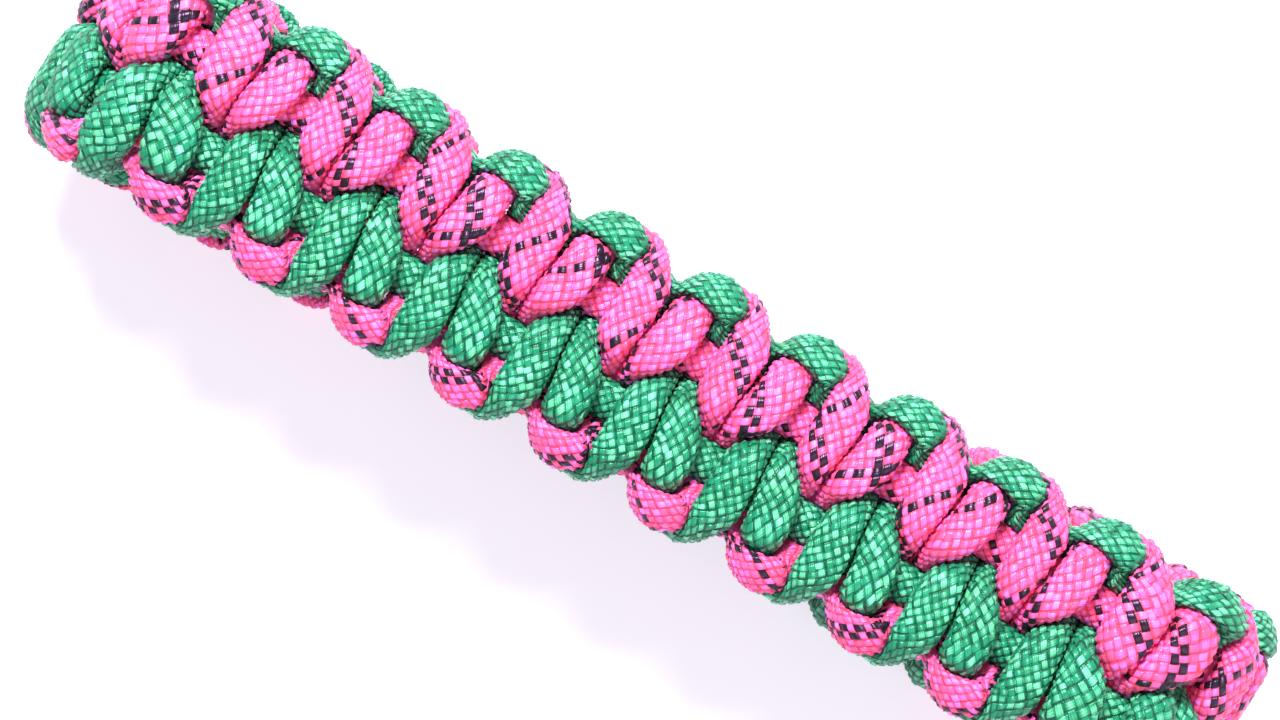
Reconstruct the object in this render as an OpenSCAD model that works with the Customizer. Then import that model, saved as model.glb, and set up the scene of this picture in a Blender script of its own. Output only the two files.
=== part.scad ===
// Two-colour paracord bracelet, closed into a loop on a plain clasp and laid down flat.
// Two working cords are knotted round two straight core strands. Lengths are in millimetres.
// The loop runs along X and closes under itself, Y is across the band, and Z = 0 is the surface
// that the bracelet lies on.

/* [Band] */
// Number of knots in the woven band
knots = 19; // [14:1:24]
// Length of band that one knot takes
knot_pitch = 10.6; // [10.2:0.1:12]
// Width of the band over the ears of the knots
band_w = 23.8; // [23:0.1:26]
// Thickness of the woven band
band_t = 9.2; // [9:0.1:10.5]

/* [Cord] */
// Diameter of a core strand, drawn tight
core_d = 3.8; // [3.4:0.1:4.1]
// Clear space between the two core strands, where the working cords dive
core_space = 3.8; // [3.4:0.1:4.4]
// Half width of a working cord where nothing presses on it
cord_half_w = 2.3; // [2:0.05:2.6]
// Clearance between neighbouring strands
strand_gap = 0.38; // [0.3:0.02:0.44]

/* [Loop] */
// Clear height of the hollow for the wrist, with the loop laid flat
hollow_h = 15; // [12:0.5:26]
// Length of bare core strand between a clasp eye and the knots
lead_l = 0.8; // [0.6:0.1:6]

/* [Clasp] */
// Distance between the two bars that the core strands are looped on
bar_span = 34; // [30:0.5:44]
// Diameter of a bar
bar_d = 2.6; // [2:0.1:3]
// Thickness of the clasp
clasp_t = 9; // [7:0.1:9.2]
// Width of each arm that carries the bars
arm_w = 2.7; // [2:0.1:5]
// Length of an arm beyond its bar
arm_end = 1; // [0.8:0.1:1.2]
// Radius of the clasp's corners, seen from above
corner_r = 3; // [3:0.1:4.5]
// Radius of the soft edge along the clasp's sides
edge_r = 1.4; // [0.6:0.1:1.5]
// Thickness of the strand where it is pressed round a bar
eye_t = 2.5; // [2:0.1:2.8]
// Width of the strand where it is pressed round a bar
eye_w = 4.6; // [4:0.1:5.4]
// Clearance between a bar or arm and the strand round it
eye_gap = 0.2; // [0.1:0.02:0.4]
// Width of the groove that marks where the clasp's halves meet
groove_w = 0.8; // [0.4:0.1:1.5]
// Depth of that groove
groove_depth = 0.6; // [0.3:0.1:1.2]

/* [Hidden] */
$fn = 48;

// One repeat of the working cord, a row for each section, read along the cord. ALONG is a share
// of knot_pitch from the knot's middle, ACROSS a share of half the band's width, HEIGHT a share
// of half its thickness, towards the face that shows.
ALONG = 0;
ACROSS = 1;
HEIGHT = 2;
REPEAT = [
    [-0.44, 0.88, -0.22], // round the edge, from the back
    [-0.32, 0.88, 0.24],
    [-0.24, 0.74, 0.56], // long strand on the face
    [-0.16, 0.34, 0.73], // over its own core
    [-0.13, 0.17, 0.62],
    [-0.12, 0.05, 0.28], // down between the cores
    [-0.13, -0.05, -0.28],
    [-0.16, -0.17, -0.62],
    [-0.23, -0.36, -0.72], // behind the other core
    [-0.40, -0.64, -0.48],
    [-0.44, -0.71, 0.02], // round the other edge
    [-0.34, -0.79, 0.41],
    [-0.20, -0.82, 0.54], // ear on the face
    [-0.08, -0.75, 0.50],
    [0.05, -0.65, 0.12], // back down beside the core
    [0.12, -0.54, -0.46],
    [0.13, -0.34, -0.73],
    [0.12, -0.17, -0.62],
    [0.12, -0.05, -0.28],
    [0.12, 0.05, 0.28], // up between the cores
    [0.16, 0.17, 0.62],
    [0.24, 0.36, 0.72], // short strand over its own core
    [0.25, 0.54, 0.60],
    [0.27, 0.65, 0.18], // under the other cord's ear
    [0.36, 0.75, -0.32]
];
// Rows between the cores where a cord comes up for its first knot and goes down after its last
FIRST_ROW = 19;
LAST_ROW = 5;
// The other cord is the mirror image across the band, this share of a knot further on
OTHER_SHIFT = 0.5;
// Row where the strand lies flat over its core, with a corner of its section to either side
FLAT_ROW = 3;
// Corners of a cord's section
SIDES = 6;
// Points that stand for a neighbouring cord between two of its rows
FINE = 4;
// How sharply a section turns from its free form to the form that its neighbours press on it
FIRM = 7;
// Length along the cord within which its own stretches don't press on each other
OWN_REACH = 1.35 * core_d;
// A strand turns no tighter than this share of the room inside its bend
BEND_FILL = 0.85;
// Room beside a round core for the flats of a coarse tube that bends round it
FLATS = 0.026 * core_d;
// A length past everything round a cord, where nothing presses on it
FAR = 40 * band_w;
// The least distance from a cord's middle to its surface
LEAST = 0.013 * core_d;
// Length by which two stretches of one strand run into each other
JOIN = 0.02;
// Length by which a cut runs past the face that it leaves
CUT = 1;

half_w = band_w / 2;
half_t = band_t / 2;
core_r = core_d / 2;
core_y = (core_space + core_d) / 2;
// Radius of the ring that the strand makes round a bar, to its middle
eye_mid_r = bar_d / 2 + eye_gap + eye_t / 2;
eye_r = eye_mid_r + eye_t / 2;
// Half width of the slots that the eyes lie in, and the clasp's size round them
slot_half_w = core_y + eye_w / 2 + eye_gap;
clasp_w = 2 * (slot_half_w + arm_w);
clasp_l = bar_span + bar_d + 2 * arm_end;

// The loop's centreline: two straight stretches and two half turns
first_along = REPEAT[FIRST_ROW + 1][ALONG] - 1 - cord_half_w / knot_pitch;
last_along = knots + REPEAT[LAST_ROW - 1][ALONG] + cord_half_w / knot_pitch + OTHER_SHIFT;
woven_l = (last_along - first_along) * knot_pitch;
closing_l = bar_span + 2 * (eye_r + lead_l);
turn_r = (hollow_h + band_t) / 2;
turn_l = PI * turn_r;
straight_l = (woven_l + closing_l) / 2 - turn_l;
mid_z = half_t + turn_r;
// Place of the first knot's middle along the loop, measured from the middle of the top
first_s = -woven_l / 2 - first_along * knot_pitch;

function unit(v) = v / norm(v);
function sized(row) = [row[ALONG] * knot_pitch, row[ACROSS] * half_w, row[HEIGHT] * half_t];
function moved(points, dx) = [for (p = points) p + [dx, 0, 0]];
function mirrored(p) = [p.x + OTHER_SHIFT * knot_pitch, -p.y, p.z];

repeat_points = [for (row = REPEAT) sized(row)];
repeat_n = len(REPEAT);
function repeat_point(i) =
    let (turn = floor(i / repeat_n))
    repeat_points[i - turn * repeat_n] + [turn * knot_pitch, 0, 0];

// A point on the smooth curve through rows i and i + 1, a share t between them
function curve_point(i, t) =
    let (a = repeat_point(i - 1), b = repeat_point(i), c = repeat_point(i + 1), d = repeat_point(i + 2))
    (2 * b + (c - a) * t + (2 * a - 5 * b + 4 * c - d) * t * t
        + (3 * b - a - 3 * c + d) * t * t * t) / 2;

// The same cord over three knots, and the other cord over four, in fine steps with the length so far
own_line = [for (i = [-repeat_n : 2 * repeat_n - 1], k = [0 : FINE - 1]) curve_point(i, k / FINE)];
own_steps = [for (i = [0 : len(own_line) - 1]) i == 0 ? 0 : norm(own_line[i] - own_line[i - 1])];
own_so_far = [for (i = 0, s = 0; i < len(own_line);
    i = i + 1, s = s + (i < len(own_line) ? own_steps[i] : 0)) s];
other_line = [for (i = [-2 * repeat_n : 2 * repeat_n - 1], k = [0 : FINE - 1])
    mirrored(curve_point(i, k / FINE))];

// Distance from a point, in a direction, to the surface midway to a neighbour's centreline
function midway(from, dir, line) = min([for (q = line)
    let (v = q - from, reach = 2 * (v * dir + strand_gap))
    reach > LEAST ? max(v * v - strand_gap * strand_gap, LEAST * LEAST) / reach : FAR]);

// Distance to a core strand, which keeps its round form
function to_core(from, dir, y) =
    let (dy = y - from.y, dz = -from.z, r = core_r + strand_gap + FLATS,
         along = dy * dir.y + dz * dir.z, flat = dir.y * dir.y + dir.z * dir.z,
         room = along * along - flat * (dy * dy + dz * dz - r * r))
    along <= 0 || room <= 0 ? FAR : max((along - sqrt(room)) / flat, LEAST);

// Distance to the band's outline, a flat oval
function to_outline(from, dir) =
    let (flat = abs(dir.z) > 0.001 ? (half_t - sign(dir.z) * from.z) / abs(dir.z) : FAR,
         side = sign(from.y + dir.y * flat),
         mid = half_w - half_t,
         y = from.y - side * mid,
         a = max(dir.y * dir.y + dir.z * dir.z, 0.001),
         b = y * dir.y + from.z * dir.z,
         c = y * y + from.z * from.z - half_t * half_t,
         at = abs(from.y + dir.y * flat))
    at <= mid ? flat : (-b + sqrt(max(b * b - a * c, 0))) / a;

// Distance at which the inside of a bend would fold over itself
function to_bend(bend, dir) = bend * dir * FAR > 1 ? BEND_FILL / (bend * dir) : FAR;

// The smallest of several distances, rounded off where two are alike
function softest(list) = pow([for (r = list) pow(max(r, LEAST), -FIRM)] * [for (r = list) 1], -1 / FIRM);

// The corners of the section at a point of the route. so_far is its place on the own line.
function section(at, u, w, bend, so_far, turned) =
    let (far = [for (i = [0 : len(own_line) - 1]) if (abs(own_so_far[i] - so_far) > OWN_REACH) own_line[i]])
    [for (k = [0 : SIDES - 1])
        let (angle = 360 * k / SIDES + turned, dir = cos(angle) * u + sin(angle) * w)
        at + dir * softest([
            cord_half_w,
            midway(at, dir, other_line),
            midway(at, dir, far),
            to_core(at, dir, core_y),
            to_core(at, dir, -core_y),
            to_outline(at, dir),
            to_bend(bend, dir)
        ])];

// Carries a direction from one tangent to the next without twisting it
function carried(u, t0, t1) =
    let (v = cross(t0, t1), k = cross(v, u), new = u + k + cross(v, k) / (1 + t0 * t1))
    unit(new - t1 * (t1 * new));

// Sections of a run of points. Each is square to the route, which goes on past both ends.
function sections(points, so_far, u0, twist, turned) =
    let (n = len(points),
         tangents = [for (i = [1 : n - 2]) unit(points[i + 1] - points[i - 1])],
         us = [for (i = 0, u = u0; i < n - 2;
               u = i + 1 < n - 2 ? carried(u, tangents[i], tangents[i + 1]) : u, i = i + 1) u])
    [for (i = [0 : n - 3])
        let (t = tangents[i], angle = -twist * i, w0 = cross(t, us[i]),
             u = cos(angle) * us[i] + sin(angle) * w0,
             step = norm(points[i + 2] - points[i]) / 2,
             bend = (points[i + 2] - 2 * points[i + 1] + points[i]) / (step * step))
        section(points[i + 1], u, cross(t, u), bend, so_far[i], turned)];

// The frame of the first row, and the twist that brings it back to itself one knot further on
first_tangent = unit(repeat_point(1) - repeat_point(-1));
first_u = unit([1, 0, 0] - first_tangent * first_tangent.x);
function carried_to(n, i = 0, u = first_u) = i == n ? u :
    carried_to(n, i + 1, carried(u, unit(repeat_point(i + 1) - repeat_point(i - 1)),
        unit(repeat_point(i + 2) - repeat_point(i))));
last_u = carried_to(repeat_n);
repeat_twist = atan2(last_u * cross(first_tangent, first_u), last_u * first_u) / repeat_n;
flat_u = carried_to(FLAT_ROW);
flat_tangent = unit(repeat_point(FLAT_ROW + 1) - repeat_point(FLAT_ROW - 1));
flat_turn = atan2(cross(flat_tangent, flat_u).x, flat_u.x) + repeat_twist * FLAT_ROW;

repeat_sections = sections([for (i = [-1 : repeat_n]) repeat_point(i)],
    [for (i = [0 : repeat_n - 1]) own_so_far[(repeat_n + i) * FINE]], first_u, repeat_twist, flat_turn);

flat_sections = [for (i = [FIRST_ROW - repeat_n : knots * repeat_n + LAST_ROW])
    let (knot = floor(i / repeat_n))
    moved(repeat_sections[i - knot * repeat_n], knot * knot_pitch)];

// From a place along the flat band to its place on the loop. p.x is the length along the loop from
// the middle of the top, p.y goes across and p.z is the height over the centreline.
function on_loop(p) =
    let (side = sign(p.x), s = abs(p.x) - straight_l / 2)
    s <= 0 ? [p.x, p.y, mid_z + turn_r + p.z] :
    s <= turn_l ? let (a = 180 * s / turn_l)
        [side * (straight_l / 2 + (turn_r + p.z) * sin(a)), p.y, mid_z + (turn_r + p.z) * cos(a)] :
    [side * (straight_l / 2 - (s - turn_l)), p.y, mid_z - turn_r - p.z];

// A closed tube through a row of rings of corners
module tube(rings) {
    n = len(rings);
    points = [for (ring = rings, p = ring) p];
    walls = [for (i = [0 : n - 2], k = [0 : SIDES - 1])
        let (a = i * SIDES + k, b = i * SIDES + (k + 1) % SIDES)
        each [[a, b + SIDES, b], [a, a + SIDES, b + SIDES]]];
    caps = [[for (k = [0 : SIDES - 1]) k], [for (k = [SIDES - 1 : -1 : 0]) (n - 1) * SIDES + k]];
    polyhedron(points, concat(walls, caps), convexity = 10);
}

// A core strand: straight along the top, round both ends, and back to the clasp underneath
module core(y) {
    leg_l = straight_l / 2 - bar_span / 2;
    translate([0, y, mid_z + turn_r])
        rotate([0, 90, 0])
            cylinder(h = straight_l + 2 * JOIN, d = core_d, center = true);
    for (side = [0, 1])
        mirror([side, 0, 0]) {
            translate([straight_l / 2, y, mid_z])
                rotate([90, 0, 0])
                    rotate([0, 0, -90])
                        rotate_extrude(angle = 180)
                            translate([turn_r, 0])
                                circle(d = core_d);
            translate([straight_l / 2 - leg_l, y, half_t])
                core_leg(leg_l);
        }
}

// The stretch from a bar to the end turn, with the eye that goes round the bar
module core_leg(leg_l) {
    difference() {
        union() {
            rotate([0, 90, 0])
                cylinder(h = leg_l + JOIN, d = core_d);
            rotate([90, 0, 0])
                rotate_extrude()
                    translate([eye_mid_r, 0])
                        eye_section();
        }
        rotate([90, 0, 0])
            cylinder(h = eye_w + 2 * CUT, r = bar_d / 2 + eye_gap, center = true);
    }
}

// A strand pressed flat, with round sides
module eye_section() {
    square([eye_t, eye_w - eye_t], center = true);
    for (side = [-1, 1])
        translate([0, side * (eye_w - eye_t) / 2])
            circle(d = eye_t);
}

// The clasp's outline from above, with a slot at each end that leaves a bar's length free
module clasp_body() {
    slot_x = bar_span / 2 - eye_r - eye_gap;
    difference() {
        rounded_slab(clasp_l, clasp_w);
        for (side = [0, 1])
            mirror([side, 0, 0])
                translate([slot_x, -slot_half_w, -CUT])
                    cube([clasp_l, 2 * slot_half_w, clasp_t + 2 * CUT]);
        translate([-groove_w / 2, -clasp_w / 2 - CUT, clasp_t - groove_depth])
            cube([groove_w, clasp_w + 2 * CUT, groove_depth + CUT]);
    }
}

// A slab with rounded corners and soft edges, standing on its flat underside
module rounded_slab(length, width) {
    plan_x = length - 2 * corner_r;
    plan_y = width - 2 * corner_r;
    soft = 2 * edge_r;
    translate([0, 0, clasp_t / 2]) {
        cube([length, plan_y, clasp_t - soft], center = true);
        cube([plan_x, width, clasp_t - soft], center = true);
        cube([length - soft, plan_y, clasp_t], center = true);
        cube([plan_x, width - soft, clasp_t], center = true);
    }
    for (z = [edge_r, clasp_t - edge_r], side = [-1, 1]) {
        translate([0, side * (width / 2 - edge_r), z])
            rotate([0, 90, 0])
                cylinder(h = plan_x, r = edge_r, center = true);
        translate([side * (length / 2 - edge_r), 0, z])
            rotate([90, 0, 0])
                cylinder(h = plan_y, r = edge_r, center = true);
    }
    for (x = [-1, 1], y = [-1, 1])
        translate([x * plan_x / 2, y * plan_y / 2, 0])
            rounded_corner();
}

// One corner of the slab, a whole turn of its edge
module rounded_corner() {
    rotate_extrude() {
        square([corner_r - edge_r, clasp_t]);
        translate([0, edge_r])
            square([corner_r, clasp_t - 2 * edge_r]);
        for (z = [edge_r, clasp_t - edge_r])
            translate([corner_r - edge_r, z])
                circle(r = edge_r);
    }
}

module bars() {
    for (side = [-1, 1])
        translate([side * bar_span / 2, 0, half_t])
            rotate([90, 0, 0])
                cylinder(h = clasp_w - arm_w, d = bar_d, center = true);
}

module pink_cord() {
    color([1, 0.3, 0.55])
        tube([for (ring = flat_sections) [for (p = ring) on_loop(p + [first_s, 0, 0])]]);
}

module green_cord() {
    color([0.04, 0.55, 0.33])
        tube([for (ring = flat_sections) [for (k = [SIDES - 1 : -1 : 0])
            on_loop(mirrored(ring[k]) + [first_s, 0, 0])]]);
}

module pink_core() {
    color([1, 0.25, 0.5])
        core(core_y);
}

module green_core() {
    color([0.03, 0.5, 0.3])
        core(-core_y);
}

module clasp() {
    color([0.08, 0.08, 0.09]) {
        clasp_body();
        bars();
    }
}

pink_cord();
green_cord();
pink_core();
green_core();
clasp();
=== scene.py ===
"""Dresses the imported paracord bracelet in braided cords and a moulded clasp.

Every strand is a braided sheath: each yarn's short float on its surface is a small pillow of its
own. One knot of a working cord is made flat, and Geometry Nodes repeat it along the band and bend
the band round the loop. The core strands go through the same nodes.

Strands are worked out in millimetres, and become metres where a mesh is made.
"""
import logging
import math
from dataclasses import dataclass
from enum import Enum
from functools import cached_property

import bmesh
import bpy
import numpy as np
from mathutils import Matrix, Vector


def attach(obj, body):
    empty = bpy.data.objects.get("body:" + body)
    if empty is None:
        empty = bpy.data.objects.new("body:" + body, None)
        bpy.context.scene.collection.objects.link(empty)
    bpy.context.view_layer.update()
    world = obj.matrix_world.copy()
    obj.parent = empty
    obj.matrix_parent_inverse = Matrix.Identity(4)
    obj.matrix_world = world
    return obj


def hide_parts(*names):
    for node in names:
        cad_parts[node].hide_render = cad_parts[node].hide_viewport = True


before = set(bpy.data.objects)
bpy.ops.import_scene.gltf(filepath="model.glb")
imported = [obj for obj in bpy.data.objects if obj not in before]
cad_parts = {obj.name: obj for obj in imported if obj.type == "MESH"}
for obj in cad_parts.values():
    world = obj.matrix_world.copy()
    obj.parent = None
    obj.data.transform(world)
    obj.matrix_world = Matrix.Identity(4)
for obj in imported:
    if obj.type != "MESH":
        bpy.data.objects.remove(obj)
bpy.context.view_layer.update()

MM = 0.001
FAR = 1e6  # a distance past everything
TINY = 1e-6
SIDES = 48  # of a strand's section
AROUND = (np.arange(SIDES) * 2 * np.pi / SIDES)[None, :, None]
YARNS_EACH_WAY = 11
MERGE = 0.002  # corners of two knots that are this close are one
UNEVEN = 0.035  # how far a float may stand from its even place
SEED = 7
DOME_DEPTH = 0.6
DOME_STEPS = ((0.8, 0.6), (0.45, 0.3))  # share of the width that is kept, and rise in depths
YARN_MAP = "along_yarn"
FACE_MARKS = ("yarn", "winds", "row")
Colour = tuple[float, float, float]
Socket = bpy.types.NodeSocket
log = logging.getLogger("bracelet")


class Across(Enum):
    """Which way a cord's knots lie across the band."""

    AS_DRAWN = 1
    MIRRORED = -1


# Along, across and height of the route's rows in shares of the knot pitch, of half the band's
# width and of half its thickness. The last column is the strand's free half width in millimetres.
KNOT_ROUTE = (
    (-0.406, 0.815, -0.33, 1.95),  # round the edge, from the back
    (-0.340, 0.840, 0.07, 2.0),
    (-0.245, 0.773, 0.41, 2.2),
    (-0.165, 0.647, 0.63, 2.5),  # long strand on the face
    (-0.151, 0.496, 0.73, 2.5),
    (-0.156, 0.319, 0.72, 2.35),  # over its own core
    (-0.146, 0.143, 0.52, 2.2),
    (-0.127, 0.000, 0.00, 2.0),  # down between the cores
    (-0.151, -0.143, -0.52, 2.05),
    (-0.226, -0.336, -0.72, 2.2),  # behind the other core
    (-0.330, -0.504, -0.72, 2.1),
    (-0.396, -0.605, -0.63, 1.95),
    (-0.439, -0.693, -0.33, 1.85),  # round the other edge
    (-0.406, -0.769, 0.07, 1.9),
    (-0.297, -0.819, 0.39, 2.15),
    (-0.142, -0.836, 0.54, 2.3),  # ear on the face
    (-0.009, -0.832, 0.54, 2.35),
    (0.099, -0.782, 0.41, 2.3),
    (0.142, -0.622, -0.02, 2.1),  # back down beside the core
    (0.151, -0.496, -0.52, 2.1),
    (0.132, -0.336, -0.72, 2.2),
    (0.123, -0.143, -0.52, 2.05),
    (0.123, 0.000, 0.00, 2.0),  # up between the cores
    (0.165, 0.143, 0.52, 2.1),
    (0.245, 0.319, 0.72, 2.3),  # short strand over its own core
    (0.274, 0.496, 0.65, 2.5),
    (0.292, 0.630, 0.20, 2.1),  # under the other cord's ear
    (0.377, 0.706, -0.35, 2.05),
    (0.481, 0.731, -0.52, 2.15),
)
FIRST_ROW = 22
LAST_ROW = 7
# The band's wavy edge on the side of the cord's own core: place along and distance from the
# middle, in the same shares. The other edge is its mirror image, shifted as the other cord is.
EDGE_LINE = (
    (-0.406, 0.941),
    (-0.340, 0.975),  # over the long strand
    (-0.236, 0.933),
    (-0.094, 0.853),
    (-0.009, 0.773),
    (0.042, 0.731),  # notch between the long strand and the ear
    (0.080, 0.765),
    (0.118, 0.836),
    (0.198, 0.916),
    (0.302, 0.971),
    (0.425, 1.004),  # over the ear
    (0.538, 0.983),
)


@dataclass(frozen=True)
class Band:
    """Sizes of the knotted band and of the loop that it closes into, in millimetres."""

    knots: int = 19
    pitch: float = 10.6
    half_width: float = 11.9
    half_thickness: float = 4.6
    core_radius: float = 1.9
    core_place: float = 3.8
    other_shift: float = 0.5
    hollow: float = 15.0
    woven_from: float = -1.057
    woven_to: float = 19.587
    bare: float = 0.8
    bar_span: float = 34.0
    eye_mid_radius: float = 2.75
    eye_outer_radius: float = 4.0

    @property
    def repeat(self) -> np.ndarray:
        """Step from one knot of the flat band to the next."""
        return np.array([self.pitch, 0.0, 0.0])

    @property
    def woven(self) -> float:
        """Length of the woven part."""
        return (self.woven_to - self.woven_from) * self.pitch

    @property
    def first_place(self) -> float:
        """Place of the first knot's middle along the loop, from the middle of the top."""
        return -self.woven / 2 - self.woven_from * self.pitch

    @property
    def turn_radius(self) -> float:
        """Radius of the band's middle round an end of the loop."""
        return (self.hollow + 2 * self.half_thickness) / 2

    @property
    def straight(self) -> float:
        """Length of the straight stretch on the top."""
        closing = self.bar_span + 2 * (self.eye_outer_radius + self.bare)
        return (self.woven + closing) / 2 - math.pi * self.turn_radius

    @property
    def middle_height(self) -> float:
        """Height of the loop's middle over the surface that it lies on."""
        return self.half_thickness + self.turn_radius

    @property
    def bar_place(self) -> float:
        """Place of a clasp bar along the loop, from the middle of the top."""
        return self.straight + math.pi * self.turn_radius - self.bar_span / 2

    def mirrored(self, points: np.ndarray) -> np.ndarray:
        """Takes points of one working cord to the other, its shifted mirror image."""
        shift = np.array([self.pitch * self.other_shift, 0.0, 0.0])
        return points * np.array([1.0, -1.0, 1.0]) + shift


@dataclass(frozen=True)
class Sheath:
    """The braid of a cord: yarns that wind both ways, each over one and under one."""

    turn: float = 11.3
    crown: float = 0.09
    groove: float = 0.09

    def rows_in(self, length: float) -> int:
        """Gives the even number of rows of crossings that fits a length of cord best."""
        row_length = self.turn / (2 * YARNS_EACH_WAY)
        return 2 * max(1, round(length / row_length / 2))


@dataclass
class BraidMesh:
    """Vertices in millimetres, and triangles with what the finish needs to know of each."""

    points: np.ndarray
    crown: np.ndarray
    triangles: np.ndarray
    yarn: np.ndarray
    winds: np.ndarray
    row: np.ndarray
    along_yarn: np.ndarray


def unit(vectors: np.ndarray) -> np.ndarray:
    """Scales vectors, whose components are the last axis, to length one."""
    length = np.linalg.norm(vectors, axis=-1, keepdims=True)
    return vectors / np.maximum(length, TINY)


def smooth_line(rows: np.ndarray, repeat: np.ndarray, fine: int) -> np.ndarray:
    """Draws a smooth curve through rows that repeat along the band.

    Args:
        rows: Rows of one repeat, places first and any further columns after them.
        repeat: What one repeat adds to each column.
        fine: Steps between two rows.

    Returns:
        Rows of the curve over one repeat.
    """
    around = np.vstack([rows[-1:] - repeat, rows, rows[:2] + repeat])
    a, b, c, d = (around[k : k + len(rows), None, :] for k in range(4))
    t = (np.arange(fine) / fine)[None, :, None]
    curve = 0.5 * (2 * b + (c - a) * t + (2 * a - 5 * b + 4 * c - d) * t**2 + (3 * b - a - 3 * c + d) * t**3)
    return curve.reshape(-1, rows.shape[1])


def lengths_along(line: np.ndarray) -> np.ndarray:
    """Adds up a line's length to each of its points, whose first three columns are places."""
    step = np.linalg.norm(np.diff(line[:, :3], axis=0), axis=1)
    return np.concatenate([[0.0], np.cumsum(step)])


def even_steps(line: np.ndarray, count: int) -> np.ndarray:
    """Places points at even lengths along an open line.

    Args:
        line: Points of the line, places first and any further columns after them.
        count: Number of points, both ends included.

    Returns:
        The evenly placed rows.
    """
    so_far = lengths_along(line)
    wanted = np.linspace(0.0, so_far[-1], count)
    return np.stack([np.interp(wanted, so_far, column) for column in line.T], axis=1)


@dataclass
class StrandRoom:
    """Works out the sections of one cord from what lies round it in the flat band."""

    band: Band
    line: np.ndarray
    free: np.ndarray
    gap: float = 0.12
    firmness: float = 7.0
    area: float = 9.6
    widest: float = 2.6
    narrowest: float = 0.05
    least_share: float = 0.88
    most_share: float = 1.05
    own_reach: float = 5.0
    bend_fill: float = 0.9
    flattest_bend: float = 1e-3
    search_from: float = 4.0
    search_step: float = 0.05
    edge_points: int = 96
    edge_reach: int = 2
    rounds: int = 6
    each_round: float = 0.5

    def neighbours(self) -> tuple[np.ndarray, np.ndarray]:
        """Gives the points before and after each point of the line, past its ends too."""
        before = np.vstack([self.line[-1:] - self.band.repeat, self.line[:-1]])
        return before, np.vstack([self.line[1:], self.line[:1] + self.band.repeat])

    @cached_property
    def ways(self) -> np.ndarray:
        """Carries a frame along the line and closes it on itself after one repeat.

        Returns:
            The directions of every section's sides.
        """
        before, after = self.neighbours()
        tangent = unit(after - before)
        count = len(tangent)
        new = unit(np.array([1.0, 0.0, 0.0]) - tangent[0] * tangent[0][0])
        kept = []
        for k in range(count):
            kept.append(new)
            a = tangent[k]
            b = tangent[(k + 1) % count]
            turn = np.cross(a, b)
            side = np.cross(turn, kept[k])
            new = kept[k] + side + np.cross(turn, side) / (1 + a @ b)
            new = unit(new - b * (b @ new))
        left = math.atan2(new @ np.cross(tangent[0], kept[0]), new @ kept[0])
        angle = (-left * np.arange(count) / count)[:, None]
        carried = np.array(kept)
        u = carried * np.cos(angle) + np.cross(tangent, carried) * np.sin(angle)
        w = np.cross(tangent, u)
        return u[:, None, :] * np.cos(AROUND) + w[:, None, :] * np.sin(AROUND)

    def beside(self, line: np.ndarray, near: np.ndarray | bool = True) -> np.ndarray:
        """Finds the distance to the surface midway to a neighbour.

        Args:
            line: Points of the neighbour's middle.
            near: Whether each of those points presses on a section.

        Returns:
            The distance in each section's directions.
        """
        towards = line[None, :, :] - self.line[:, None, :]
        square = (towards**2).sum(axis=2)
        reach = 2 * (np.einsum("isk,ijk->isj", self.ways, towards) + self.gap)
        found = (square[:, None, :] - self.gap * self.gap) / np.maximum(reach, TINY)
        return np.where((reach > TINY) & near & (found >= 0), found, FAR).min(axis=2)

    def edge(self, points: np.ndarray) -> np.ndarray:
        """Looks up how far from the band's middle its wavy edge lies.

        Args:
            points: Places in the flat band.

        Returns:
            The distance at each place, on the side of the band that it is on.
        """
        band = self.band
        along, across = np.array(EDGE_LINE).T
        fine = np.linspace(0.0, 1.0, self.edge_points, endpoint=False)
        line = np.interp(fine, along, across, period=1.0)
        rolls = range(-self.edge_reach, self.edge_reach + 1)
        soft = sum(np.roll(line, k) for k in rolls) / len(rolls)
        shift = np.where(points[..., 1] < 0, band.other_shift, 0.0)
        return band.half_width * np.interp(points[..., 0] / band.pitch - shift, fine, soft, period=1.0)

    def outline(self) -> np.ndarray:
        """Finds the distance to the band's outline, an oval whose width follows the wavy edge.

        Returns:
            The distance in each section's directions.
        """
        thick = self.band.half_thickness - self.gap
        found = np.full(self.ways.shape[:2], FAR)
        for reach in np.arange(self.search_from, 0.0, -self.search_step):
            points = self.line[:, None, :] + self.ways * reach
            middle = self.edge(points) - thick
            past = np.maximum(np.abs(points[..., 1]) - middle, 0.0)
            found = np.where(past**2 + points[..., 2] ** 2 > thick**2, reach, found)
        return found

    def bends(self) -> np.ndarray:
        """Finds the distance at which the inside of a bend would fold.

        Returns:
            The distance in each section's directions.
        """
        before, after = self.neighbours()
        step = np.linalg.norm(after - before, axis=1) / 2
        bend = (after - 2 * self.line + before) / (step**2)[:, None]
        inward = np.einsum("isk,ik->is", self.ways, bend)
        fold = self.bend_fill / np.maximum(inward, self.flattest_bend)
        return np.where(inward > self.flattest_bend, fold, FAR)

    def round_core(self, place: float) -> np.ndarray:
        """Finds the distance to a core strand, which keeps its round form.

        Args:
            place: Place of the core's middle across the band.

        Returns:
            The distance in each section's directions.
        """
        across = place - self.line[:, None, 1]
        height = -self.line[:, None, 2]
        dy = self.ways[:, :, 1]
        dh = self.ways[:, :, 2]
        radius = self.band.core_radius + self.gap
        flat = np.maximum(dy**2 + dh**2, TINY)
        along = across * dy + height * dh
        room = along**2 - flat * (across**2 + height**2 - radius**2)
        hit = (along - np.sqrt(np.maximum(room, 0))) / flat
        return np.where((along > 0) & (room > 0), np.maximum(hit, self.narrowest), FAR)

    def softest(self, lengths: list[np.ndarray]) -> np.ndarray:
        """Takes the smallest of several lengths, rounded off where two are alike."""
        total = sum(np.maximum(length, self.narrowest) ** -self.firmness for length in lengths)
        return total ** (-1 / self.firmness)

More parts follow.
